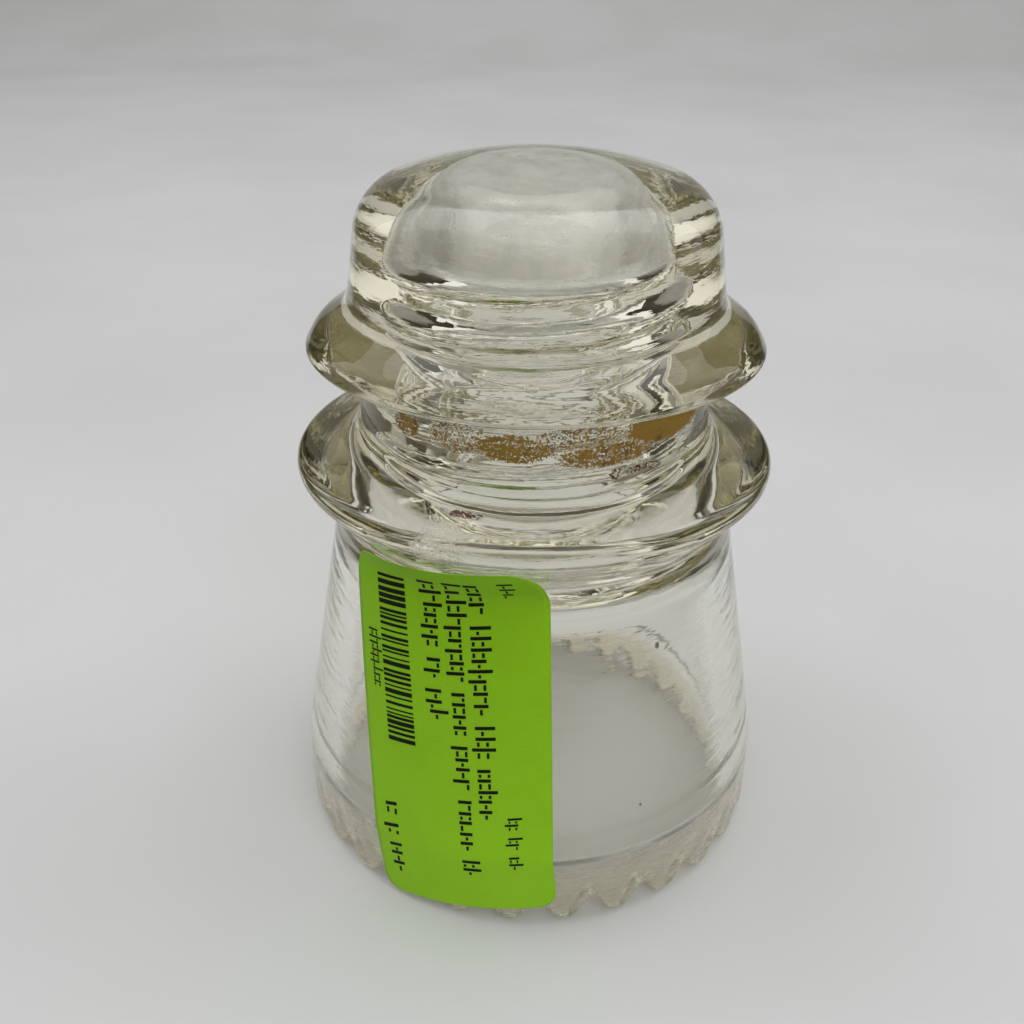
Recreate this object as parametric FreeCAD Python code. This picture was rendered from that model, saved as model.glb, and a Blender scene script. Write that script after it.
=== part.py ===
import FreeCAD, Part
import math
import os

# Pin-type line insulator in pressed glass, standing on its drip points.
# Millimetres, +Z up, origin on the axis at the plane the drip points stand on.
# +Y points away from the front, and the price label sits on the front left.

Vec = FreeCAD.Vector
AXIS_POINT = Vec(0, 0, 0)
AXIS_UP = Vec(0, 0, 1)

# Overall size
TOTAL_HEIGHT = 101.6
BASE_RADIUS = 36.3

# Dome
CROWN_SPHERE_RADIUS = 64.0
SHOULDER_RADIUS = 8.0
DOME_SIDE_RADIUS = 25.0
DOME_SIDE_HEIGHT = 90.0
DOME_SIDE_TAPER = math.radians(8.0)
DOME_FOOT_HEIGHT = 82.5
DOME_FOOT_FILLET = 3.0

# Upper wire ridge
UPPER_RIDGE_RADIUS = 32.1
UPPER_RIDGE_TOP = 79.2
UPPER_RIDGE_TOP_INSET = 1.5
UPPER_RIDGE_ROUNDING = 6.0
UPPER_RIDGE_CORNER = 76.6
UPPER_RIDGE_CORNER_ROUNDING = 0.4

# Wire groove
GROOVE_RADIUS = 25.0
GROOVE_TOP = 74.0
GROOVE_TOP_FILLET = 2.5
GROOVE_FLOOR = 63.2
GROOVE_FLOOR_FILLET = 3.5

# Lower wire ridge
LOWER_RIDGE_RADIUS = 34.4
LOWER_RIDGE_SHOULDER = 61.3
LOWER_RIDGE_SHOULDER_ROUNDING = 1.7
LOWER_RIDGE_BOTTOM = 58.9
LOWER_RIDGE_BOTTOM_ROUNDING = 2.2

# Skirt, from under the lower ridge to the mould line at the base ring
SKIRT_TOP_RADIUS = 29.0
SKIRT_TOP = 52.6
SKIRT_TOP_FILLET = 0.8
MOULD_LINE = 11.8
MOULD_LINE_DEPTH = 0.25
MOULD_LINE_HALF_WIDTH = 0.3

# Bell inside the skirt
BELL_MOUTH_RADIUS = 31.8
BELL_MOUTH_HEIGHT = 9.0
BELL_TOP_RADIUS = 25.2
BELL_CEILING = 47.6
BELL_CEILING_FILLET = 5.0
DRIP_RIM_ROUNDING = 1.9

# Drip points round the base ring
DRIP_COUNT = 28
DRIP_HEIGHT = 4.1
DRIP_FOOT_WIDTH = 1.4
DRIP_PHASE = math.radians(9.1)
GAP_ARCH_FOOT_HEIGHT = 3.0
GAP_ARCH_HALF_WIDTH = 0.9
GAP_OVERSHOOT = 2.0

# Pinhole: a one-inch pin thread, four threads to the inch, widening downwards
INCH = 25.4
PIN_THREAD_PITCH = INCH / 4.0
PIN_TAPER = math.atan(1.0 / 32.0)
PIN_HOLE_TOP = 93.5
PIN_HOLE_TOP_RADIUS = 12.0
PIN_HOLE_END_FILLET = 4.5
THREAD_DEPTH = 1.6
THREAD_GROOVE_WIDTH = 3.9
THREAD_OVERLAP = 0.6
THREAD_TOP = 86.9
THREAD_BOTTOM = 57.5
LEAD_IN_RADIUS = 15.0
LEAD_IN_TOP = 53.6
LEAD_IN_CONE_TOP = 56.2
LEAD_IN_ROUNDING = 1.5

# Price label
LABEL_FOOT_CHORD = 25.9
LABEL_TOP_CHORD = 29.2
LABEL_HEIGHT = 53.2
LABEL_TOP_RISE = 1.1
LABEL_CORNER = 2.5
LABEL_THICKNESS = 0.15
GLUE_THICKNESS = 0.05
LABEL_CENTRE_AZIMUTH = math.radians(-18.95)
LABEL_CENTRE_HEIGHT = 28.85
LABEL_LEAN = math.radians(6.7)
LABEL_BEND_HEIGHT = 51.4
LABEL_SHEET_TOP = 58.4
LABEL_REACH = 60.0


def meridian(r, z):
    return Vec(r, 0, z)


def rounded_edges(corners):
    """Edges through (r, z, rounding) corners, each corner rounded by its own radius."""
    edges = []
    start = meridian(corners[0][0], corners[0][1])
    for i in range(1, len(corners) - 1):
        corner = meridian(corners[i][0], corners[i][1])
        rounding = corners[i][2]
        if rounding == 0:
            edges.append(Part.makeLine(start, corner))
            start = corner
            continue
        back = (meridian(corners[i - 1][0], corners[i - 1][1]) - corner).normalize()
        ahead = (meridian(corners[i + 1][0], corners[i + 1][1]) - corner).normalize()
        half_angle = back.getAngle(ahead) / 2.0
        setback = rounding / math.tan(half_angle)
        bisector = (back + ahead).normalize()
        first = corner + back * setback
        last = corner + ahead * setback
        centre = corner + bisector * (rounding / math.sin(half_angle))
        middle = centre - bisector * rounding
        edges.append(Part.makeLine(start, first))
        edges.append(Part.Arc(first, middle, last).toShape())
        start = last
    edges.append(Part.makeLine(start, meridian(corners[-1][0], corners[-1][1])))
    return edges


def revolved(edges):
    face = Part.Face(Part.Wire(edges))
    return face.revolve(AXIS_POINT, AXIS_UP, 360)


def shoulder_centre():
    """Centre of the shoulder arc, tangent to the crown sphere and to the tapered side."""
    side_normal = Vec(math.cos(DOME_SIDE_TAPER), 0, math.sin(DOME_SIDE_TAPER))
    side_up = Vec(-math.sin(DOME_SIDE_TAPER), 0, math.cos(DOME_SIDE_TAPER))
    side_point = meridian(DOME_SIDE_RADIUS, DOME_SIDE_HEIGHT)
    crown_centre = meridian(0, TOTAL_HEIGHT - CROWN_SPHERE_RADIUS)
    start = side_point - side_normal * SHOULDER_RADIUS
    offset = start - crown_centre
    along = offset.dot(side_up)
    reach = CROWN_SPHERE_RADIUS - SHOULDER_RADIUS
    travel = -along + math.sqrt(along * along - offset.dot(offset) + reach * reach)
    return start + side_up * travel


def body_corners():
    dome_foot_radius = DOME_SIDE_RADIUS + (DOME_SIDE_HEIGHT - DOME_FOOT_HEIGHT) * math.tan(DOME_SIDE_TAPER)
    seam_radius = BASE_RADIUS - MOULD_LINE_DEPTH
    return [
        (dome_foot_radius, DOME_FOOT_HEIGHT, DOME_FOOT_FILLET),
        (UPPER_RIDGE_RADIUS - UPPER_RIDGE_TOP_INSET, UPPER_RIDGE_TOP, UPPER_RIDGE_ROUNDING),
        (UPPER_RIDGE_RADIUS, UPPER_RIDGE_CORNER, UPPER_RIDGE_CORNER_ROUNDING),
        (GROOVE_RADIUS, GROOVE_TOP, GROOVE_TOP_FILLET),
        (GROOVE_RADIUS, GROOVE_FLOOR, GROOVE_FLOOR_FILLET),
        (LOWER_RIDGE_RADIUS, LOWER_RIDGE_SHOULDER, LOWER_RIDGE_SHOULDER_ROUNDING),
        (LOWER_RIDGE_RADIUS, LOWER_RIDGE_BOTTOM, LOWER_RIDGE_BOTTOM_ROUNDING),
        (SKIRT_TOP_RADIUS, SKIRT_TOP, SKIRT_TOP_FILLET),
        (BASE_RADIUS, MOULD_LINE + MOULD_LINE_HALF_WIDTH, 0),
        (seam_radius, MOULD_LINE, 0),
        (BASE_RADIUS, MOULD_LINE - MOULD_LINE_HALF_WIDTH, 0),
        (BASE_RADIUS, 0, DRIP_RIM_ROUNDING),
        (BELL_MOUTH_RADIUS, 0, DRIP_RIM_ROUNDING),
        (BELL_MOUTH_RADIUS, BELL_MOUTH_HEIGHT, 0),
        (BELL_TOP_RADIUS, BELL_CEILING, BELL_CEILING_FILLET),
        (LEAD_IN_RADIUS, BELL_CEILING, LEAD_IN_ROUNDING),
        (LEAD_IN_RADIUS, LEAD_IN_TOP, 0),
    ]


def pin_radius(z):
    """Crest radius of the pinhole at height z."""
    return PIN_HOLE_TOP_RADIUS + (PIN_HOLE_TOP - z) * math.tan(PIN_TAPER)


def plain_body():
    centre = shoulder_centre()
    crown_centre = meridian(0, TOTAL_HEIGHT - CROWN_SPHERE_RADIUS)
    crown_direction = (centre - crown_centre).normalize()
    crown_end = crown_centre + crown_direction * CROWN_SPHERE_RADIUS
    crown_lean = math.atan2(crown_direction.x, crown_direction.z)
    half_lean = crown_lean / 2.0
    crown_middle = crown_centre + Vec(math.sin(half_lean), 0, math.cos(half_lean)) * CROWN_SPHERE_RADIUS
    side_normal = Vec(math.cos(DOME_SIDE_TAPER), 0, math.sin(DOME_SIDE_TAPER))
    shoulder_end = centre + side_normal * SHOULDER_RADIUS
    shoulder_middle = centre + (crown_direction + side_normal).normalize() * SHOULDER_RADIUS
    apex = meridian(0, TOTAL_HEIGHT)
    edges = [Part.Arc(apex, crown_middle, crown_end).toShape()]
    edges.append(Part.Arc(crown_end, shoulder_middle, shoulder_end).toShape())
    pinhole = [
        (pin_radius(LEAD_IN_CONE_TOP), LEAD_IN_CONE_TOP, 0),
        (PIN_HOLE_TOP_RADIUS, PIN_HOLE_TOP, PIN_HOLE_END_FILLET),
        (0, PIN_HOLE_TOP, 0),
    ]
    corners = [(shoulder_end.x, shoulder_end.z, 0)] + body_corners() + pinhole
    edges += rounded_edges(corners)
    edges.append(Part.makeLine(meridian(0, PIN_HOLE_TOP), apex))
    return revolved(edges)


def thread_groove():
    """Round-bottomed right-hand thread groove, swept along the tapered pinhole wall."""
    wall = pin_radius(THREAD_BOTTOM)
    helix = Part.makeHelix(
        PIN_THREAD_PITCH,
        THREAD_TOP - THREAD_BOTTOM,
        wall,
        -math.degrees(PIN_TAPER),
    )
    helix.translate(Vec(0, 0, THREAD_BOTTOM))
    low = Vec(wall - THREAD_OVERLAP, 0, THREAD_BOTTOM - THREAD_GROOVE_WIDTH / 2.0)
    high = Vec(wall - THREAD_OVERLAP, 0, THREAD_BOTTOM + THREAD_GROOVE_WIDTH / 2.0)
    root = Vec(wall + THREAD_DEPTH, 0, THREAD_BOTTOM)
    section = Part.Wire([Part.Arc(low, root, high).toShape(), Part.makeLine(high, low)])
    return Part.Wire(helix.Edges).makePipeShell([section], True, True)


def drip_gap():
    """The gap between two drip points, as a radial prism running out past both walls."""
    middle_radius = (BASE_RADIUS + BELL_MOUTH_RADIUS) / 2.0
    half_pitch = math.pi * middle_radius / DRIP_COUNT
    half_foot = half_pitch - DRIP_FOOT_WIDTH / 2.0
    arch = Vec(0, 0, DRIP_HEIGHT)
    arch_right = Vec(0, GAP_ARCH_HALF_WIDTH, GAP_ARCH_FOOT_HEIGHT)
    arch_left = Vec(0, -GAP_ARCH_HALF_WIDTH, GAP_ARCH_FOOT_HEIGHT)
    right = Vec(0, half_foot, 0)
    left = Vec(0, -half_foot, 0)
    below = Vec(0, 0, -GAP_OVERSHOOT)
    outline = Part.Wire([
        Part.makeLine(right, arch_right),
        Part.Arc(arch_right, arch, arch_left).toShape(),
        Part.makeLine(arch_left, left),
        Part.makeLine(left, left + below),
        Part.makeLine(left + below, right + below),
        Part.makeLine(right + below, right),
    ])
    reach = BASE_RADIUS - BELL_MOUTH_RADIUS + 2.0 * GAP_OVERSHOOT
    prism = Part.Face(outline).extrude(Vec(reach, 0, 0))
    prism.translate(Vec(BELL_MOUTH_RADIUS - GAP_OVERSHOOT, 0, 0))
    return prism


def glass_body():
    body = plain_body().cut(thread_groove())
    gap = drip_gap()
    gaps = []
    for i in range(DRIP_COUNT):
        turn = -math.pi / 2.0 + DRIP_PHASE + (i + 0.5) * 2.0 * math.pi / DRIP_COUNT
        copy = gap.copy()
        copy.rotate(AXIS_POINT, AXIS_UP, math.degrees(turn))
        gaps.append(copy)
    return body.cut(gaps)


def label_sheet():
    """Thin sheet round the base ring and the skirt's cone, bent out at the top towards the ridge."""
    skirt_slope = (BASE_RADIUS - SKIRT_TOP_RADIUS) / (SKIRT_TOP - MOULD_LINE)
    underside_slope = (LOWER_RIDGE_RADIUS - SKIRT_TOP_RADIUS) / (LOWER_RIDGE_BOTTOM - SKIRT_TOP)
    bend_radius = SKIRT_TOP_RADIUS + skirt_slope * (SKIRT_TOP - LABEL_BEND_HEIGHT)
    tip_radius = SKIRT_TOP_RADIUS + underside_slope * (LABEL_SHEET_TOP - SKIRT_TOP)
    glue = Vec(GLUE_THICKNESS, 0, 0)
    paper = Vec(LABEL_THICKNESS, 0, 0)
    inner = [
        meridian(BASE_RADIUS, 0) + glue,
        meridian(BASE_RADIUS, MOULD_LINE) + glue,
        meridian(bend_radius, LABEL_BEND_HEIGHT) + glue,
        meridian(tip_radius, LABEL_SHEET_TOP) + glue,
    ]
    outer = [corner + paper for corner in reversed(inner)]
    return Part.Face(Part.makePolygon(inner + outer + inner[:1])).revolve(AXIS_POINT, AXIS_UP, 360)


def label_outline():
    """Block with the label's rounded outline, leaning to the left, reaching out from the axis."""
    half_foot = LABEL_FOOT_CHORD / 2.0
    half_top = LABEL_TOP_CHORD / 2.0
    half_height = LABEL_HEIGHT / 2.0
    outline = Part.makePolygon([
        Vec(0, -half_foot, -half_height),
        Vec(0, half_foot, -half_height),
        Vec(0, half_top, half_height + LABEL_TOP_RISE),
        Vec(0, -half_top, half_height - LABEL_TOP_RISE),
        Vec(0, -half_foot, -half_height),
    ])
    block = Part.Face(outline).extrude(Vec(LABEL_REACH, 0, 0))
    long_edges = [edge for edge in block.Edges if edge.BoundBox.XLength > LABEL_HEIGHT]
    block = block.makeFillet(LABEL_CORNER, long_edges)
    block.rotate(AXIS_POINT, Vec(1, 0, 0), math.degrees(LABEL_LEAN))
    block.translate(Vec(0, 0, LABEL_CENTRE_HEIGHT))
    block.rotate(AXIS_POINT, AXIS_UP, -90 + math.degrees(LABEL_CENTRE_AZIMUTH))
    return block


def price_label():
    return label_sheet().common(label_outline())


os.makedirs("parts", exist_ok=True)
for name, shape in (("glass_body", glass_body()), ("price_label", price_label())):
    solid = shape.Solids[0]
    solid.exportStep(os.path.join("parts", name + ".step"))
    print(name, len(shape.Solids), solid.isValid(), round(solid.Volume, 1), solid.BoundBox)
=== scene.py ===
import math
import random

import bpy
from mathutils import Matrix, Vector, noise


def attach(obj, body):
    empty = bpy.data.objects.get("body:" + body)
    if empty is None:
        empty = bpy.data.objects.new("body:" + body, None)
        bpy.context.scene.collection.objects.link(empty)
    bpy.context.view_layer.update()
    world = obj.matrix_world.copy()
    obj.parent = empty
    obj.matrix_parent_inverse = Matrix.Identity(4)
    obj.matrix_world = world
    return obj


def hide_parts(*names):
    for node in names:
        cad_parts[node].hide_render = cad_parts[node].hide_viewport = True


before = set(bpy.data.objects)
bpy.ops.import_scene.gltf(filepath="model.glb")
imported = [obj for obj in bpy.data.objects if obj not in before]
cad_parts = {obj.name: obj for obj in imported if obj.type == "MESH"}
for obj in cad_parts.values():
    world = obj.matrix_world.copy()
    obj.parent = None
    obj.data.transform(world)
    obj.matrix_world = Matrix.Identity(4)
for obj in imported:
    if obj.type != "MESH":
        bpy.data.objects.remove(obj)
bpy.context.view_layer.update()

MM = 0.001

# ---------------------------------------------------------------- glass outline
# Millimetres, the same figures as the CAD part. Only the drip gaps, which are smooth
# waves here, and the run-out at the thread's ends have another form.
TOTAL_HEIGHT = 101.6
CROWN_RADIUS = 64.0
SHOULDER_RADIUS = 8.0
SIDE_TAPER = math.radians(8.0)
SIDE_POINT = (25.0, 90.0)
FOOT_HEIGHT = 82.5
UPPER_RIDGE_TOP = (30.6, 79.2)
UPPER_RIDGE_EDGE = (32.1, 76.6)
GROOVE_RADIUS, GROOVE_TOP, GROOVE_FLOOR = 25.0, 74.0, 63.2
LOWER_RIDGE_SHOULDER = (34.4, 61.3)
MOULD_LINE, MOULD_LINE_DEPTH, MOULD_LINE_HALF_WIDTH = 11.8, 0.25, 0.3
BASE_RADIUS = 36.3
BELL_MOUTH_RADIUS, BELL_MOUTH_HEIGHT = 31.8, 9.0
BELL_TOP_RADIUS, BELL_CEILING = 25.2, 47.6
LEAD_IN_RADIUS, LEAD_IN_TOP, LEAD_IN_CONE_TOP = 15.0, 53.6, 56.2
SKIRT_TOP = (29.0, 52.6)
UNDERSIDE_END = (34.4, 58.9)
DRIP_COUNT = 28
DRIP_HEIGHT = 4.1
DRIP_FOOT_WIDTH = 1.4
DRIP_PHASE = math.radians(9.1)
DRIP_ZONE = 6.5
RIM_ROUNDING = 1.9
PIN_TAPER = math.atan(1 / 32)
PIN_TOP = 93.5
PIN_TOP_RADIUS = 12.0
END_ROUNDING = 4.5
PITCH = 25.4 / 4
THREAD_LOW, THREAD_HIGH = 57.5, 86.9
THREAD_DEPTH, THREAD_HALF_WIDTH = 1.6, 2.0
RUN_IN_START, RUN_IN_LENGTH = 1.5, 3
RUN_OUT_END, RUN_OUT_LENGTH = 1.8, 1.6
OUTER_WAVE, OUTER_DRAG, BELL_WAVE, END_WAVE = 0.012, 0.006, 0.05, 0.10

# points in a ring, and how many times as many the drip ring has
AROUND = 224
FINE = 2
OUTER_STEP, RIM_STEP, BELL_STEP, BORE_STEP = 0.95, 0.7, 1.2, 0.45


def pin_radius(z):
    return PIN_TOP_RADIUS + (PIN_TOP - z) * math.tan(PIN_TAPER)


def unit(value):
    return max(0.0, min(1.0, value))


def rounded(corners, step):
    """Points along (r, z, rounding) corners: arcs at the corners, even steps between them."""
    out = []
    last = Vector(corners[0][:2])
    for i in range(1, len(corners)):
        c = Vector(corners[i][:2])
        radius = corners[i][2] if i < len(corners) - 1 else 0
        if radius == 0:
            arc = [c]
        else:
            back = (Vector(corners[i - 1][:2]) - c).normalized()
            ahead = (Vector(corners[i + 1][:2]) - c).normalized()
            half = math.acos(max(-1, min(1, back.dot(ahead)))) / 2
            centre = c + (back + ahead).normalized() * (radius / math.sin(half))
            first = c + back * (radius / math.tan(half))
            final = c + ahead * (radius / math.tan(half))
            a0 = math.atan2(*(first - centre).yx)
            turn = (math.atan2(*(final - centre).yx) - a0 + math.pi) % math.tau - math.pi
            count = max(3, round(abs(turn) * radius / (step * 0.45)), round(abs(turn) / 0.26))
            angles = [a0 + turn * k / count for k in range(count + 1)]
            arc = [centre + radius * Vector((math.cos(a), math.sin(a))) for a in angles]
        length = (arc[0] - last).length
        n = max(1, math.ceil(length / step))
        out += [last.lerp(arc[0], k / n) for k in range(0 if not out else 1, n)]
        out += arc
        last = arc[-1]
    return out


def outer_outline():
    crown = Vector((0, TOTAL_HEIGHT - CROWN_RADIUS))
    normal = Vector((math.cos(SIDE_TAPER), math.sin(SIDE_TAPER)))
    up = Vector((-normal.y, normal.x))
    start = Vector(SIDE_POINT) - normal * SHOULDER_RADIUS
    offset = start - crown
    along = offset.dot(up)
    reach = CROWN_RADIUS - SHOULDER_RADIUS
    centre = start + up * (-along + math.sqrt(along * along - offset.dot(offset) + reach * reach))
    lean = math.atan2(*(centre - crown).xy)
    angles = [lean * k / 22 for k in range(23)]
    points = [crown + CROWN_RADIUS * Vector((math.sin(a), math.cos(a))) for a in angles]
    a0 = math.pi / 2 - lean
    angles = [a0 + (SIDE_TAPER - a0) * k / 16 for k in range(1, 17)]
    points += [centre + SHOULDER_RADIUS * Vector((math.cos(a), math.sin(a))) for a in angles]
    foot_radius = SIDE_POINT[0] + (SIDE_POINT[1] - FOOT_HEIGHT) * math.tan(SIDE_TAPER)
    # radius, height and rounding of each corner
    corners = [
        (points[-1].x, points[-1].y, 0),
        (foot_radius, FOOT_HEIGHT, 3.0),
        (*UPPER_RIDGE_TOP, 6.0),
        (*UPPER_RIDGE_EDGE, 0.4),
        (GROOVE_RADIUS, GROOVE_TOP, 2.5),
        (GROOVE_RADIUS, GROOVE_FLOOR, 3.5),
        (*LOWER_RIDGE_SHOULDER, 1.7),
        (*UNDERSIDE_END, 2.2),
        (*SKIRT_TOP, 0.8),
        (BASE_RADIUS, MOULD_LINE + MOULD_LINE_HALF_WIDTH, 0),
        (BASE_RADIUS - MOULD_LINE_DEPTH, MOULD_LINE, 0),
        (BASE_RADIUS, MOULD_LINE - MOULD_LINE_HALF_WIDTH, 0),
        (BASE_RADIUS, DRIP_ZONE, 0),
    ]
    return points + rounded(corners, OUTER_STEP)[1:]


def rim_outline():
    return rounded([
        (BASE_RADIUS, DRIP_ZONE, 0),
        (BASE_RADIUS, 0, RIM_ROUNDING),
        (BELL_MOUTH_RADIUS, 0, RIM_ROUNDING),
        (BELL_MOUTH_RADIUS, DRIP_ZONE, 0),
    ], RIM_STEP)


def inner_outline():
    bell = rounded([
        (BELL_MOUTH_RADIUS, DRIP_ZONE, 0),
        (BELL_MOUTH_RADIUS, BELL_MOUTH_HEIGHT, 0),
        (BELL_TOP_RADIUS, BELL_CEILING, 5.0),
        (LEAD_IN_RADIUS, BELL_CEILING, 1.5),
        (LEAD_IN_RADIUS, LEAD_IN_TOP, 0),
        (pin_radius(LEAD_IN_CONE_TOP), LEAD_IN_CONE_TOP, 0),
    ], BELL_STEP)
    bore = rounded([
        (pin_radius(LEAD_IN_CONE_TOP), LEAD_IN_CONE_TOP, 0),
        (PIN_TOP_RADIUS, PIN_TOP, END_ROUNDING),
        (0, PIN_TOP, 0),
    ], BORE_STEP)
    return bell + bore[1:]


def gap_height(angle):
    """Height of the drip ring's lower edge: nought at a drip point, DRIP_HEIGHT in a gap."""
    pitch = math.tau / DRIP_COUNT
    off = (angle - DRIP_PHASE) % pitch - pitch / 2
    middle = (BASE_RADIUS + BELL_MOUTH_RADIUS) / 2
    half_foot = middle * pitch / 2 - DRIP_FOOT_WIDTH / 2
    x = abs(off) * middle / half_foot
    return DRIP_HEIGHT * (0.5 + 0.5 * math.cos(math.pi * min(1.0, x))) ** 0.9


def thread_depth(z, angle):
    phase = (z - THREAD_LOW) / PITCH - angle / math.tau
    t = (phase - round(phase)) * PITCH
    groove = max(0.0, 1 - (t / THREAD_HALF_WIDTH) ** 2)
    ends = unit((z - THREAD_LOW + RUN_IN_START) / RUN_IN_LENGTH)
    ends *= unit((THREAD_HIGH + RUN_OUT_END - z) / RUN_OUT_LENGTH)
    return THREAD_DEPTH * groove * (1.6 - 0.6 * groove) * ends


def wave(r, z, angle, scale, seed):
    p = Vector((r * math.cos(angle), r * math.sin(angle), z)) / scale
    return noise.noise(p + Vector((seed, seed * 0.7, -seed)))


def glass_point(part, r, z, azimuth):
    """azimuth is measured from the front (-Y), growing towards +X."""
    if part == "rim":
        low = gap_height(azimuth)
        z = low + z * (DRIP_ZONE - low) / DRIP_ZONE
    if part == "inner" and z > LEAD_IN_CONE_TOP:
        if r > 4:
            r += thread_depth(z, azimuth - math.pi / 2)
        top = unit((z - 91) / 2)
        z -= END_WAVE * top * wave(r, z, azimuth, 4.0, 7.0) * min(1, r / 2)
    if part == "outer" and r > 3:
        swell = OUTER_WAVE * wave(r, z, azimuth, 9, 3.0)
        r += swell + OUTER_DRAG * wave(r * 0.15, z, azimuth, 1.3, 11.0)
    if part == "inner" and z < 47:
        r += BELL_WAVE * wave(r, z, azimuth, 14, 5.0)
    return Vector((r * math.sin(azimuth), -r * math.cos(azimuth), z)) * MM


def mesh_object(name, verts, faces, smooth=True):
    mesh = bpy.data.meshes.new(name)
    mesh.from_pydata([tuple(v) for v in verts], [], faces)
    mesh.validate()
    mesh.polygons.foreach_set("use_smooth", [smooth] * len(mesh.polygons))
    obj = bpy.data.objects.new(name, mesh)
    bpy.context.scene.collection.objects.link(obj)
    return obj


def glass_mesh():
    outer, rim, inner = outer_outline(), rim_outline(), inner_outline()
    rings = [("outer", p, AROUND) for p in outer[1:-1]]
    rings += [("rim", p, AROUND * FINE) for p in rim]
    rings += [("inner", p, AROUND) for p in inner[1:-1]]
    verts, starts = [], []
    for part, p, count in rings:
        starts.append(len(verts))
        verts += [glass_point(part, p.x, p.y, math.tau * k / count) for k in range(count)]
    faces = []
    for i in range(len(rings) - 1):
        a, b = starts[i], starts[i + 1]
        na, nb = rings[i][2], rings[i + 1][2]
        if na == nb:
            faces += [(a + k, b + k, b + (k + 1) % nb, a + (k + 1) % na) for k in range(na)]
        elif nb > na:
            for k in range(na):
                nxt = (k + 1) % na
                faces.append((a + k, b + FINE * k, b + FINE * k + 1))
                faces.append((a + k, b + FINE * k + 1, a + nxt))
                faces.append((a + nxt, b + FINE * k + 1, b + (FINE * (k + 1)) % nb))
        else:
            for k in range(nb):
                nxt = (k + 1) % nb
                faces.append((a + FINE * k, b + k, a + FINE * k + 1))
                faces.append((a + FINE * k + 1, b + k, b + nxt))
                faces.append((a + FINE * k + 1, b + nxt, a + (FINE * (k + 1)) % na))
    apex = len(verts)
    verts.append(Vector((0, 0, TOTAL_HEIGHT)) * MM)
    end = len(verts)
    verts.append(Vector((0, 0, PIN_TOP)) * MM)
    first, last = starts[0], starts[-1]
    faces += [(apex, first + k, first + (k + 1) % AROUND) for k in range(AROUND)]
    faces += [(end, last + (k + 1) % AROUND, last + k) for k in range(AROUND)]
    return mesh_object("pressed_glass", verts, faces)


# ---------------------------------------------------------------- materials
class Nodes:
    """Short names for building the node tree of a material or a world."""

    def __init__(self, owner):
        self.owner = owner
        owner.use_nodes = True
        self.tree = owner.node_tree
        self.shader = self.tree.nodes.get("Principled BSDF")
        self.output = self.tree.nodes.get("Material Output")

    def add(self, kind, **values):
        node = self.tree.nodes.new(kind)
        for key, value in values.items():
            setattr(node, key, value)
        return node

    def link(self, a, b):
        if isinstance(a, (int, float)):
            b.default_value = a
        else:
            self.tree.links.new(a, b)

    def math(self, operation, a, b=0.0, c=0.0, clamp=False):
        node = self.add("ShaderNodeMath", operation=operation, use_clamp=clamp)
        for value, socket in zip((a, b, c), node.inputs):
            self.link(value, socket)
        return node.outputs[0]

    def smooth(self, value, low, high, to_low=0.0, to_high=1.0):
        node = self.add("ShaderNodeMapRange", interpolation_type="SMOOTHSTEP")
        self.link(value, node.inputs["Value"])
        node.inputs["From Min"].default_value = low
        node.inputs["From Max"].default_value = high
        node.inputs["To Min"].default_value = to_low
        node.inputs["To Max"].default_value = to_high
        return node.outputs["Result"]

    def noise(self, vector, scale, detail=2.0, roughness=0.5):
        node = self.add("ShaderNodeTexNoise")
        node.inputs["Scale"].default_value = scale
        node.inputs["Detail"].default_value = detail
        node.inputs["Roughness"].default_value = roughness
        self.link(vector, node.inputs["Vector"])
        return node.outputs["Fac"]

    def mix(self, factor, a, b):
        node = self.add("ShaderNodeMix", data_type="RGBA")
        self.link(factor, node.inputs["Factor"])
        for value, socket in ((a, node.inputs[6]), (b, node.inputs[7])):
            if isinstance(value, tuple):
                socket.default_value = value + (1,)
            else:
                self.tree.links.new(value, socket)
        return node.outputs[2]

    def stretched(self, vector, scale):
        node = self.add("ShaderNodeMapping")
        node.inputs["Scale"].default_value = scale
        self.link(vector, node.inputs["Vector"])
        return node.outputs["Vector"]

    def axes(self, vector):
        node = self.add("ShaderNodeSeparateXYZ")
        self.link(vector, node.inputs[0])
        return node.outputs

    def bump(self, height, strength, distance):
        node = self.add("ShaderNodeBump")
        node.inputs["Strength"].default_value = strength
        node.inputs["Distance"].default_value = distance
        self.link(height, node.inputs["Height"])
        self.link(node.outputs["Normal"], self.shader.inputs["Normal"])


def material_nodes(name):
    return Nodes(bpy.data.materials.new(name))


GLASS_TINT, GLASS_DENSITY, GLASS_IOR = (0.79, 0.735, 0.42, 1), 14, 1.52
CLEAR = (0.985, 0.985, 0.97)
DRIP_DIRT, DRIP_CLEAN = (0.90, 0.86, 0.73), (0.96, 0.93, 0.83)
SEAM_DIRT, SPECK = (0.20, 0.19, 0.15), (0.14, 0.13, 0.10)
SATIN_DARK, SATIN_LIGHT = (0.86, 0.885, 0.89), (0.97, 0.985, 0.99)
RUST_OCHRE, RUST_BROWN, RUST_RED = (0.31, 0.185, 0.030), (0.13, 0.066, 0.013), (0.105, 0.034, 0.012)
SHADOW_CLEAR, SHADOW_DRIPS = (0.995, 0.99, 0.975), (0.36, 0.34, 0.30)
# radius lost per unit of height up the skirt: r + SKIRT_FALL * z tells its outer wall from its inner
SKIRT_FALL = 0.179
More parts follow.
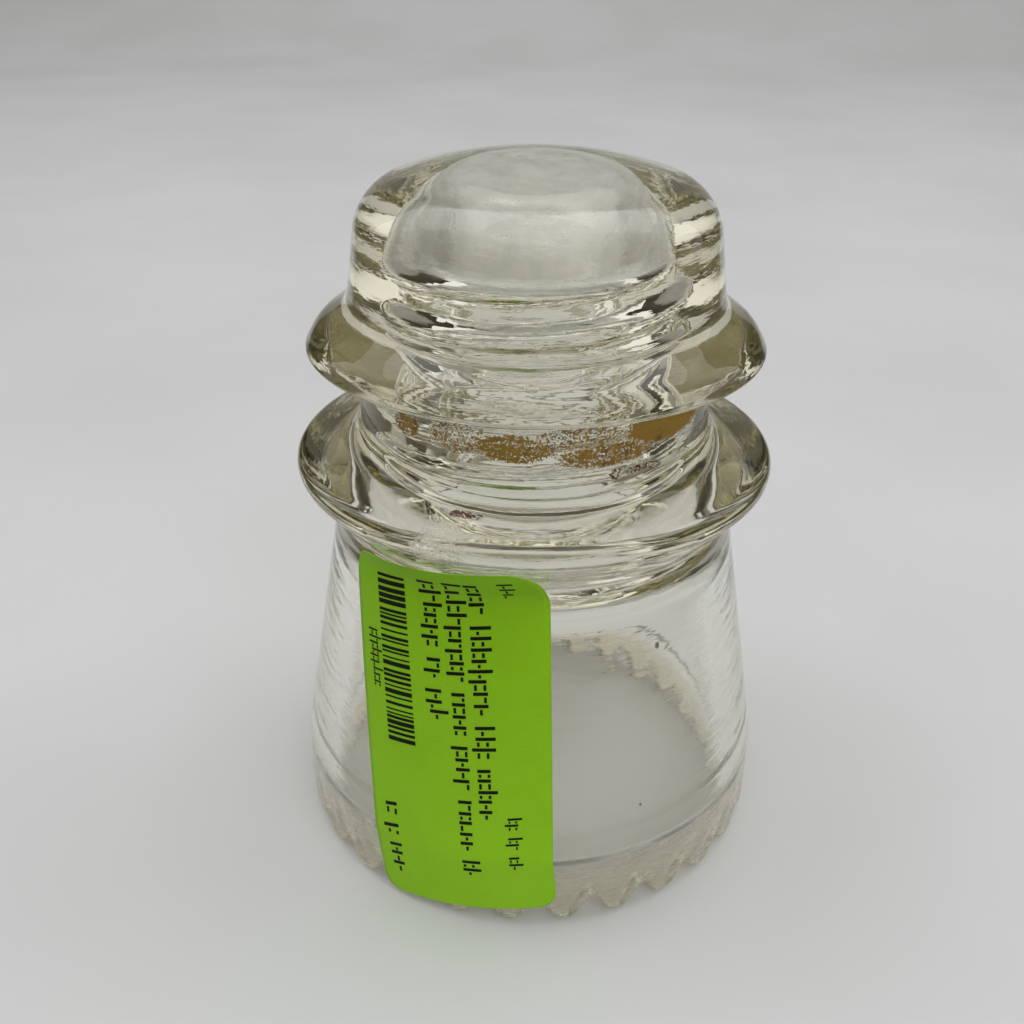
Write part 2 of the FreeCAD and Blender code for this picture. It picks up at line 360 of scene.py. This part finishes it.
# where the zones of the glass fade in or out, in metres
END_ABOVE, END_WITHIN, END_BELOW = (0.0868, 0.0885), (0.0130, 0.0125), (0.0980, 0.0972)
BASE_BELOW, BELL_WITHIN, BELL_BELOW = (0.0105, 0.0075), (0.0329, 0.0325), (0.0485, 0.0465)
GROOVE_WITHIN, GROOVE_OUTSIDE = (0.0300, 0.0285), (0.0215, 0.0230)
LIP_BELOW, LIP_ABOVE = (0.0640, 0.0632), (0.0570, 0.0580)
# rust in the groove: azimuth, half angle, height, half height, amount
RUST_SPOTS = (
    (44, 26, 71.8, 3.8, 0.55),
    (-6, 20, 70.6, 3.2, 0.46),
    (-22, 18, 71.4, 3.8, 0.40),
    (-41, 9, 71.2, 2.8, 0.45),
    (22, 26, 69.2, 2.6, 0.45),
    (14, 26, 72.0, 2.8, 0.40),
)


def glass_material():
    n = material_nodes("clear_glass")
    place = n.add("ShaderNodeTexCoord").outputs["Object"]
    x, y, z = n.axes(place)
    r = n.math("SQRT", n.math("ADD", n.math("MULTIPLY", x, x), n.math("MULTIPLY", y, y)))
    azimuth = n.math("MULTIPLY", n.math("ARCTAN2", x, n.math("MULTIPLY", y, -1.0)), 180 / math.pi)
    fine = n.noise(place, 3200, 4, 0.65)
    medium = n.noise(place, 420, 3, 0.6)
    patches = n.noise(place, 95, 2, 0.5)
    streaks = n.noise(n.stretched(place, (1, 1, 6)), 260, 4, 0.6)
    levels = n.noise(n.stretched(place, (1, 1, 12)), 180, 3, 0.6)
    scratches = n.noise(n.stretched(place, (1, 1, 4)), 700, 4, 0.7)

    # satin end of the pinhole
    end = n.math("MULTIPLY", n.smooth(z, *END_ABOVE), n.smooth(r, *END_WITHIN))
    end = n.math("MULTIPLY", end, n.smooth(z, *END_BELOW))
    # drip points and base ring, rough from the mould and a little dirty
    drips = n.smooth(z, *BASE_BELOW)
    bell = n.math("MULTIPLY", n.smooth(r, *BELL_WITHIN), n.smooth(z, *BELL_BELOW))
    rough = n.math("ADD", n.math("MULTIPLY", end, n.smooth(streaks, 0.3, 0.7, 0.24, 0.40)), 0.012)
    rough = n.math("ADD", rough, n.math("MULTIPLY", drips, n.smooth(levels, 0.3, 0.7, 0.16, 0.28)))
    rough = n.math("ADD", rough, n.math("MULTIPLY", bell, 0.045))

    # rust and dirt left in the wire groove by a wire
    def band(value, middle, half):
        return n.smooth(n.math("ABSOLUTE", n.math("SUBTRACT", value, middle)), half, half * 0.35)

    def spot(angle, half_angle, height, half_height, amount):
        da = n.math("DIVIDE", n.math("SUBTRACT", azimuth, float(angle)), float(half_angle))
        dz = n.math("DIVIDE", n.math("SUBTRACT", z, height * MM), half_height * MM)
        reach = n.math("SQRT", n.math("ADD", n.math("MULTIPLY", da, da), n.math("MULTIPLY", dz, dz)))
        return n.math("MULTIPLY", n.smooth(reach, 1.0, 0.45), float(amount))

    groove = n.math("MULTIPLY", n.smooth(r, *GROOVE_WITHIN), n.smooth(r, *GROOVE_OUTSIDE))
    ring = n.math("MULTIPLY", band(z, 0.0710, 0.0026), n.smooth(patches, 0.45, 0.70, 0.0, 0.30))
    for rust_spot in RUST_SPOTS:
        ring = n.math("MAXIMUM", ring, spot(*rust_spot))
    ochre = n.math("MULTIPLY", groove, ring)
    grain = n.math("ADD", n.math("MULTIPLY", fine, 0.62), n.math("MULTIPLY", scratches, 0.38))
    ochre = n.smooth(n.math("ADD", ochre, grain), 0.865, 0.93)
    red = n.math("MAXIMUM", spot(34, 14, 66.4, 1.1, 0.43), spot(60, 18, 68.6, 3.0, 0.36))
    red = n.math("MULTIPLY", n.math("MAXIMUM", red, spot(25, 4, 66.4, 1.5, 0.445)), groove)
    lip = n.math("MULTIPLY", n.smooth(z, *LIP_BELOW), n.smooth(z, *LIP_ABOVE))
    out = n.math("DIVIDE", n.math("ABSOLUTE", n.math("SUBTRACT", r, 0.0285)), 0.0016)
    streak = n.math("MULTIPLY", n.smooth(out, 1.0, 0.2), lip)
    streak = n.math("MULTIPLY", streak, spot(-17, 8, 61.8, 4.0, 0.47))
    red = n.smooth(n.math("ADD", n.math("MAXIMUM", red, streak), grain), 0.89, 0.96)
    splash = n.math("MULTIPLY", n.smooth(r, 0.0283, 0.0300), lip)
    splash = n.math("MULTIPLY", splash, spot(-20, 11, 60.0, 4.0, 0.36))
    tan = n.smooth(n.math("ADD", splash, grain), 0.84, 1.00)
    stain = n.math("MAXIMUM", n.math("MAXIMUM", ochre, red), n.math("MULTIPLY", tan, 0.6))

    rust = n.mix(n.smooth(medium, 0.50, 0.75), RUST_OCHRE, RUST_BROWN)
    rust = n.mix(red, rust, RUST_RED)
    clean = n.mix(drips, CLEAR, n.mix(n.smooth(levels, 0.3, 0.7), DRIP_DIRT, DRIP_CLEAN))
    seam = n.math("MULTIPLY", band(z, 0.0118, 0.0008), n.smooth(r, 0.0345, 0.0350))
    seam = n.math("MULTIPLY", seam, n.smooth(patches, 0.25, 0.60, 0.35, 0.85))
    clean = n.mix(seam, clean, SEAM_DIRT)
    seeds = n.math("MAXIMUM", spot(33.7, 0.9, 42.1, 0.7, 1.0), spot(26.9, 0.5, 18.8, 0.35, 1.0))
    seeds = n.math("MAXIMUM", seeds, spot(25.9, 0.8, 2.9, 0.5, 0.8))
    outward = n.math("MULTIPLY_ADD", z, SKIRT_FALL, r)
    seeds = n.math("MULTIPLY", seeds, n.smooth(outward, 0.0352, 0.0360))
    clean = n.mix(seeds, clean, SPECK)
    clean = n.mix(end, clean, n.mix(n.smooth(medium, 0.35, 0.65), SATIN_DARK, SATIN_LIGHT))
    milk = n.math("MULTIPLY", end, n.smooth(streaks, 0.35, 0.65, 0.52, 0.74))
    n.link(n.mix(stain, clean, rust), n.shader.inputs["Base Color"])
    solid = n.math("MULTIPLY", drips, n.smooth(r, 0.0325, 0.0335, 0.05, 0.17))
    solid = n.math("ADD", n.math("MAXIMUM", stain, milk), solid)
    solid = n.math("ADD", solid, n.math("MULTIPLY", seam, 0.8))
    solid = n.math("MAXIMUM", solid, n.math("MULTIPLY", seeds, 0.8))
    n.link(n.math("SUBTRACT", 1.0, solid, clamp=True), n.shader.inputs["Transmission Weight"])
    n.link(n.math("ADD", rough, n.math("MULTIPLY", stain, 0.7), clamp=True), n.shader.inputs["Roughness"])
    n.shader.inputs["IOR"].default_value = GLASS_IOR

    flow = n.noise(n.stretched(place, (1, 1, 5)), 130, 3)
    ripple = n.math("ADD", flow, n.math("MULTIPLY", end, n.math("MULTIPLY", streaks, 1.5)))
    n.bump(n.math("ADD", ripple, n.math("MULTIPLY", stain, 0.6)), 0.10, 0.0006)

    # shadow rays pass straight through, because the glass would otherwise cast a solid shadow
    lamp = n.add("ShaderNodeBsdfTransparent")
    n.link(n.mix(drips, SHADOW_CLEAR, SHADOW_DRIPS), lamp.inputs["Color"])
    path = n.add("ShaderNodeLightPath")
    joined = n.add("ShaderNodeMixShader")
    n.link(path.outputs["Is Shadow Ray"], joined.inputs[0])
    n.link(n.shader.outputs[0], joined.inputs[1])
    n.link(lamp.outputs[0], joined.inputs[2])
    n.link(joined.outputs[0], n.output.inputs["Surface"])
    absorb = n.add("ShaderNodeVolumeAbsorption")
    absorb.inputs["Color"].default_value = GLASS_TINT
    absorb.inputs["Density"].default_value = GLASS_DENSITY
    n.link(absorb.outputs[0], n.output.inputs["Volume"])
    return n.owner


glass = glass_mesh()
glass.data.materials.append(glass_material())
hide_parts("glass_body")
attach(glass, "root")


# ---------------------------------------------------------------- price label
# LABEL_WIDTH is the width that a runs over, before the sheet narrows towards its foot.
# The CAD sheet has LABEL_CORNER at all four corners.
LABEL_WIDTH, LABEL_HEIGHT, LABEL_CORNER, LABEL_TOP_CORNER = 29.0, 53.2, 2.5, 4.0
LABEL_FOOT_CHORD, LABEL_TOP_CHORD, LABEL_TOP_RISE = 25.9, 29.2, 1.1
LABEL_AZIMUTH, LABEL_LEAN, LABEL_MIDDLE = math.radians(-18.95), math.radians(6.7), 28.85
LABEL_THICKNESS, GLUE = 0.15, 0.05
BEND_HEIGHT, SHEET_TOP = 51.4, 58.4
SKIRT_SLOPE = (BASE_RADIUS - SKIRT_TOP[0]) / (SKIRT_TOP[1] - MOULD_LINE)


def label_radius(z):
    """Radius of the label's inner face at height z."""
    if z < MOULD_LINE:
        return BASE_RADIUS + GLUE
    if z < BEND_HEIGHT:
        return BASE_RADIUS + GLUE - SKIRT_SLOPE * (z - MOULD_LINE)
    bend = BASE_RADIUS + GLUE - SKIRT_SLOPE * (BEND_HEIGHT - MOULD_LINE)
    underside = (UNDERSIDE_END[0] - SKIRT_TOP[0]) / (UNDERSIDE_END[1] - SKIRT_TOP[1])
    tip = SKIRT_TOP[0] + underside * (SHEET_TOP - SKIRT_TOP[1]) + GLUE
    return bend + (tip - bend) * (z - BEND_HEIGHT) / (SHEET_TOP - BEND_HEIGHT)


def label_point(a, b, lift):
    """a runs across the label to the right, b up it, lift out of its inner face, in millimetres."""
    share = b / LABEL_HEIGHT + 0.5
    a *= (LABEL_FOOT_CHORD + (LABEL_TOP_CHORD - LABEL_FOOT_CHORD) * share) / LABEL_WIDTH
    b += LABEL_TOP_RISE * share * a / (LABEL_TOP_CHORD / 2)
    across = a * math.cos(LABEL_LEAN) - b * math.sin(LABEL_LEAN)
    z = LABEL_MIDDLE + a * math.sin(LABEL_LEAN) + b * math.cos(LABEL_LEAN)
    r = sum(label_radius(z + dz) for dz in (-0.9, -0.3, 0.3, 0.9)) / 4
    r = max(r, label_radius(z))
    turn = LABEL_AZIMUTH + math.asin(across / r)
    r += lift
    return Vector((r * math.sin(turn), -r * math.cos(turn), z)) * MM


def label_half_width(b):
    corner = LABEL_CORNER if b < 0 else LABEL_TOP_CORNER
    inset = abs(b) - (LABEL_HEIGHT / 2 - corner)
    if inset <= 0:
        return LABEL_WIDTH / 2
    return LABEL_WIDTH / 2 - corner + math.sqrt(max(0.0, corner ** 2 - inset ** 2))


def label_mesh():
    low, high = LABEL_CORNER - LABEL_HEIGHT / 2, LABEL_HEIGHT / 2 - LABEL_TOP_CORNER
    rows = [low - LABEL_CORNER * math.cos(math.pi / 2 * k / 8) for k in range(9)]
    rows += [low + (high - low) * k / 56 for k in range(1, 56)]
    rows += [high + LABEL_TOP_CORNER * math.sin(math.pi / 2 * k / 8) for k in range(9)]
    columns = 36
    verts, faces = [], []
    for lift in (0.0, LABEL_THICKNESS):
        for b in rows:
            half = label_half_width(b)
            verts += [label_point(half * (2 * k / columns - 1), b, lift) for k in range(columns + 1)]
    wide = columns + 1
    back = len(rows) * wide
    for i in range(len(rows) - 1):
        for k in range(columns):
            q = (i * wide + k, i * wide + k + 1, (i + 1) * wide + k + 1, (i + 1) * wide + k)
            faces.append(tuple(v + back for v in q))
            faces.append(tuple(reversed(q)))
    edge = list(range(wide)) + [i * wide + columns for i in range(1, len(rows))]
    edge += [(len(rows) - 1) * wide + k for k in range(columns - 1, -1, -1)]
    edge += [i * wide for i in range(len(rows) - 2, 0, -1)]
    for k, v in enumerate(edge):
        w = edge[(k + 1) % len(edge)]
        faces.append((v, w, w + back, v + back))
    return mesh_object("price_label_sheet", verts, faces)


def paper_material():
    n = material_nodes("green_paper")
    place = n.add("ShaderNodeTexCoord").outputs["Object"]
    fibre = n.noise(n.stretched(place, (1, 1, 3)), 2400, 4, 0.6)
    cloud = n.noise(place, 160, 2)
    green = n.mix(n.smooth(fibre, 0.3, 0.7), (0.280, 0.610, 0.009), (0.325, 0.665, 0.013))
    green = n.mix(n.smooth(cloud, 0.35, 0.75, 0.0, 0.35), green, (0.255, 0.55, 0.007))
    n.link(green, n.shader.inputs["Base Color"])
    n.link(n.smooth(fibre, 0.2, 0.8, 0.50, 0.68), n.shader.inputs["Roughness"])
    n.shader.inputs["Specular IOR Level"].default_value = 0.25
    n.bump(fibre, 0.15, 0.00005)
    return n.owner


def ink_material():
    n = material_nodes("black_ink")
    place = n.add("ShaderNodeTexCoord").outputs["Object"]
    wear = n.noise(place, 5200, 3, 0.6)
    n.link(n.mix(n.smooth(wear, 0.45, 0.75), (0.006, 0.007, 0.006), (0.014, 0.024, 0.006)),
           n.shader.inputs["Base Color"])
    n.link(n.smooth(wear, 0.3, 0.7, 0.55, 0.75), n.shader.inputs["Roughness"])
    n.shader.inputs["Specular IOR Level"].default_value = 0.2
    return n.owner


# the print starts inside the paper and ends above it, measured from the sheet's inner face
INK_FOOT, INK_TOP = 0.14, 0.195
ink_verts, ink_faces = [], []


def ink(a0, b0, a1, b1, slant=0.0):
    """A thin printed bar over a0..a1 across and b0..b1 up the label, leaning by slant."""
    na = max(1, math.ceil(abs(a1 - a0) / 0.9))
    nb = max(1, math.ceil(abs(b1 - b0) / 1.5))
    start = len(ink_verts)
    wide = na + 1
    back = (nb + 1) * wide
    for lift in (INK_FOOT, INK_TOP):
        for j in range(nb + 1):
            for i in range(wide):
                a = a0 + (a1 - a0) * i / na
                b = b0 + (b1 - b0) * j / nb + slant * (a - a0)
                ink_verts.append(label_point(a, b, lift))
    for j in range(nb):
        for i in range(na):
            q = (j * wide + i, j * wide + i + 1, (j + 1) * wide + i + 1, (j + 1) * wide + i)
            ink_faces.append(tuple(start + back + v for v in q))
            ink_faces.append(tuple(start + v for v in reversed(q)))
    edge = list(range(wide)) + [j * wide + na for j in range(1, nb + 1)]
    edge += [nb * wide + i for i in range(na - 1, -1, -1)] + [j * wide for j in range(nb - 1, 0, -1)]
    for k, v in enumerate(edge):
        w = edge[(k + 1) % len(edge)]
        ink_faces.append((start + v, start + w, start + w + back, start + v + back))


def greeked_line(base, height, top, bottom, stroke, words, slant=0.0):
    """A line of stand-in print down the label: stems with short dashes, which spell nothing."""
    b = top
    for word in words:
        for _ in range(word):
            rise = rng.choice((0.54, 0.54, 0.58, 0.80))
            foot = rng.choice((0.0, 0.0, 0.0, -0.16))
            dash = height * rng.choice((0.13, 0.17, 0.22))
            gap = stroke * 0.55
            ink(base + height * foot, b - stroke, base + height * rise, b, slant)
            for level in rng.choice(((0.05, 0.42), (0.24,), (0.05,), (0.42,), (0.24,), (0.05, 0.42))):
                low = base + height * level
                ink(low, b - stroke - gap - dash, low + stroke * 0.8, b - stroke - gap, slant)
            b -= stroke + 2 * gap + dash
            if b < bottom:
                return
        b -= height * 0.40


rng = random.Random(16)
BARS_TOP, BARS_BOTTOM, BARS_LEFT, BARS_RIGHT = 23.4, -0.9, -10.3, -5.5
bar = BARS_TOP
while bar > BARS_BOTTOM:
    thick = rng.choice((0.20, 0.24, 0.40, 0.62))
    ink(BARS_LEFT, bar - thick, BARS_RIGHT, bar)
    bar -= thick + rng.choice((0.26, 0.40, 0.62))
greeked_line(-12.4, 2.4, 15.0, 7.2, 0.24, (9,))
greeked_line(-12.0, 4.0, -10.8, -22.0, 0.50, (1, 1, 4), 0.15)
greeked_line(-2.6, 3.6, 23.9, 5.0, 0.47, (6, 2, 4))
greeked_line(0.9, 3.6, 24.1, -20.2, 0.47, (9, 4, 4, 5, 5))
greeked_line(4.1, 3.6, 24.1, -11.6, 0.47, (3, 8, 3, 5))
greeked_line(9.0, 2.6, 24.6, 21.0, 0.30, (3,))
greeked_line(8.2, 2.6, -10.8, -21.6, 0.30, (2, 2, 2))

label = label_mesh()
label.data.materials.append(paper_material())
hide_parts("price_label")
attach(label, "root")
print_piece = mesh_object("label_print", ink_verts, ink_faces, smooth=False)
print_piece.data.materials.append(ink_material())
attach(print_piece, "root")


# ---------------------------------------------------------------- floor, light and camera
# Rays straight from the camera see an even pale sheet and an even pale room. All other
# rays, so also what is seen through the glass, meet a sheet that turns dark away from the
# part, and a room that is darker low down, at the sides and at the front. On the sheet this
# dark is painted shade in front of the part, for the shadow of the camera side, and dark
# ground beyond a small sheet at its sides.
# the third sheet colour is painted shade in front of the part and dark ground beyond the sheet at its
# sides
SHEET_PALE, SHEET_PALER, SHEET_DARK_GROUND_AND_SHADE = (0.61, 0.615, 0.61), (0.65, 0.655, 0.655), (0.15, 0.138, 0.10)
ROOM_DARK, ROOM_LIGHT, ROOM_SEEN = (0.070, 0.065, 0.046), (0.98, 0.985, 1.0), (0.48, 0.485, 0.485)
TOP_POWER, FILL_POWER, BACKDROP_POWER = 1.2, 6.6, 1.9


def camera_ray(n):
    return n.add("ShaderNodeLightPath").outputs["Is Camera Ray"]


def sweep():
    """A pale sheet on the ground, curving up behind."""
    width, front, back, rise, bend = 2.4, -1.2, 0.9, 1.4, 0.45
    line = [(front + (back - front) * k / 12, 0.0) for k in range(13)]
    angles = [math.pi / 2 * k / 16 for k in range(1, 17)]
    line += [(back + bend * math.sin(a), bend - bend * math.cos(a)) for a in angles]
    line += [(back + bend, bend + rise * k / 6) for k in range(1, 7)]
    verts = [Vector((x, y, z)) for y, z in line for x in (-width, width)]
    faces = [(2 * i, 2 * i + 1, 2 * i + 3, 2 * i + 2) for i in range(len(line) - 1)]
    return mesh_object("paper_sweep", verts, faces)


def sheet_material():
    n = material_nodes("sweep_paper")
    place = n.add("ShaderNodeTexCoord").outputs["Object"]
    pale = n.mix(n.smooth(n.noise(place, 9, 3), 0.3, 0.7), SHEET_PALE, SHEET_PALER)
    x, y = n.axes(place)[:2]
    aside = n.math("MULTIPLY_ADD", y, -0.40, n.math("ABSOLUTE", x))
    # for rays not from the camera: painted shade in front of the part (y below -0.08 m), dark ground
    # beyond the sheet at its sides
    ground_and_shade = n.math("MAXIMUM", n.smooth(aside, 0.108, 0.17), n.smooth(y, -0.08, -0.15))
    ground_and_shade = n.math("MULTIPLY", ground_and_shade, n.math("SUBTRACT", 1.0, camera_ray(n)))
    n.link(n.mix(ground_and_shade, pale, SHEET_DARK_GROUND_AND_SHADE), n.shader.inputs["Base Color"])
    n.shader.inputs["Roughness"].default_value = 0.8
    return n.owner


floor = sweep()
floor.data.materials.append(sheet_material())


def area_light(name, place, aim, size, power):
    data = bpy.data.lights.new(name, "AREA")
    data.shape = "RECTANGLE"
    data.size, data.size_y = size
    data.energy = power
    obj = bpy.data.objects.new(name, data)
    obj.location = place
    obj.rotation_mode = "QUATERNION"
    obj.rotation_quaternion = (Vector(aim) - Vector(place)).to_track_quat("-Z", "Y")
    bpy.context.scene.collection.objects.link(obj)
    return obj


for name, x in (("top_left", -0.40), ("top_right", 0.40)):
    lamp = area_light(name, (x, 0.25, 0.9), (0, 0, 0.05), (0.7, 0.5), TOP_POWER)
    lamp.visible_transmission = False
fill = area_light("front_fill", (0.32, -0.95, 0.85), (0, 0, 0.04), (1.3, 0.9), FILL_POWER)
back = area_light("backdrop", (0, 0.75, 1.1), (0, 1.25, 0.1), (1.2, 0.4), BACKDROP_POWER)
for lamp in (fill, back):
    lamp.visible_glossy = False
    lamp.visible_transmission = False


def soft_room():
    n = Nodes(bpy.data.worlds.new("soft_room"))
    x, y, z = n.axes(n.add("ShaderNodeTexCoord").outputs["Generated"])
    openness = n.math("MULTIPLY_ADD", z, 0.75, y)
    openness = n.math("MULTIPLY_ADD", n.math("ABSOLUTE", x), -0.55, openness)
    tint = n.mix(n.smooth(openness, -0.45, 0.35), ROOM_DARK, ROOM_LIGHT)
    n.link(n.mix(camera_ray(n), tint, ROOM_SEEN), n.tree.nodes["Background"].inputs["Color"])
    return n.owner


bpy.context.scene.world = soft_room()

CAMERA_BACK, CAMERA_HEIGHT = 150.7 * MM, 130.4 * MM
CAMERA_PITCH, CAMERA_ROLL, CAMERA_YAW = 0.4992, 0.0071, -0.0207
FOCAL_PIXELS, IMAGE_PIXELS, SENSOR = 1122.9, 1024, 36
forward_flat = Vector((math.sin(CAMERA_YAW), math.cos(CAMERA_YAW), 0))
right_flat = Vector((math.cos(CAMERA_YAW), -math.sin(CAMERA_YAW), 0))
up_flat = Vector((0, 0, 1))
forward = forward_flat * math.cos(CAMERA_PITCH) - up_flat * math.sin(CAMERA_PITCH)
up = forward_flat * math.sin(CAMERA_PITCH) + up_flat * math.cos(CAMERA_PITCH)
right = right_flat * math.cos(CAMERA_ROLL) + up * math.sin(CAMERA_ROLL)
above = up * math.cos(CAMERA_ROLL) - right_flat * math.sin(CAMERA_ROLL)
cam_data = bpy.data.cameras.new("camera")
cam_data.sensor_width = SENSOR
cam_data.lens = SENSOR * FOCAL_PIXELS / IMAGE_PIXELS
cam_data.clip_start = 0.01
cam = bpy.data.objects.new("camera", cam_data)
cam.matrix_world = Matrix((
    (right.x, above.x, -forward.x, 0),
    (right.y, above.y, -forward.y, -CAMERA_BACK),
    (right.z, above.z, -forward.z, CAMERA_HEIGHT),
    (0, 0, 0, 1),
))
bpy.context.scene.collection.objects.link(cam)
bpy.context.scene.camera = cam

BOUNCES, GLOSSY_BOUNCES = 28, 10
cycles = bpy.context.scene.cycles
cycles.max_bounces = BOUNCES
cycles.transmission_bounces = BOUNCES
cycles.glossy_bounces = GLOSSY_BOUNCES
bpy.context.scene.view_settings.view_transform = "Standard"
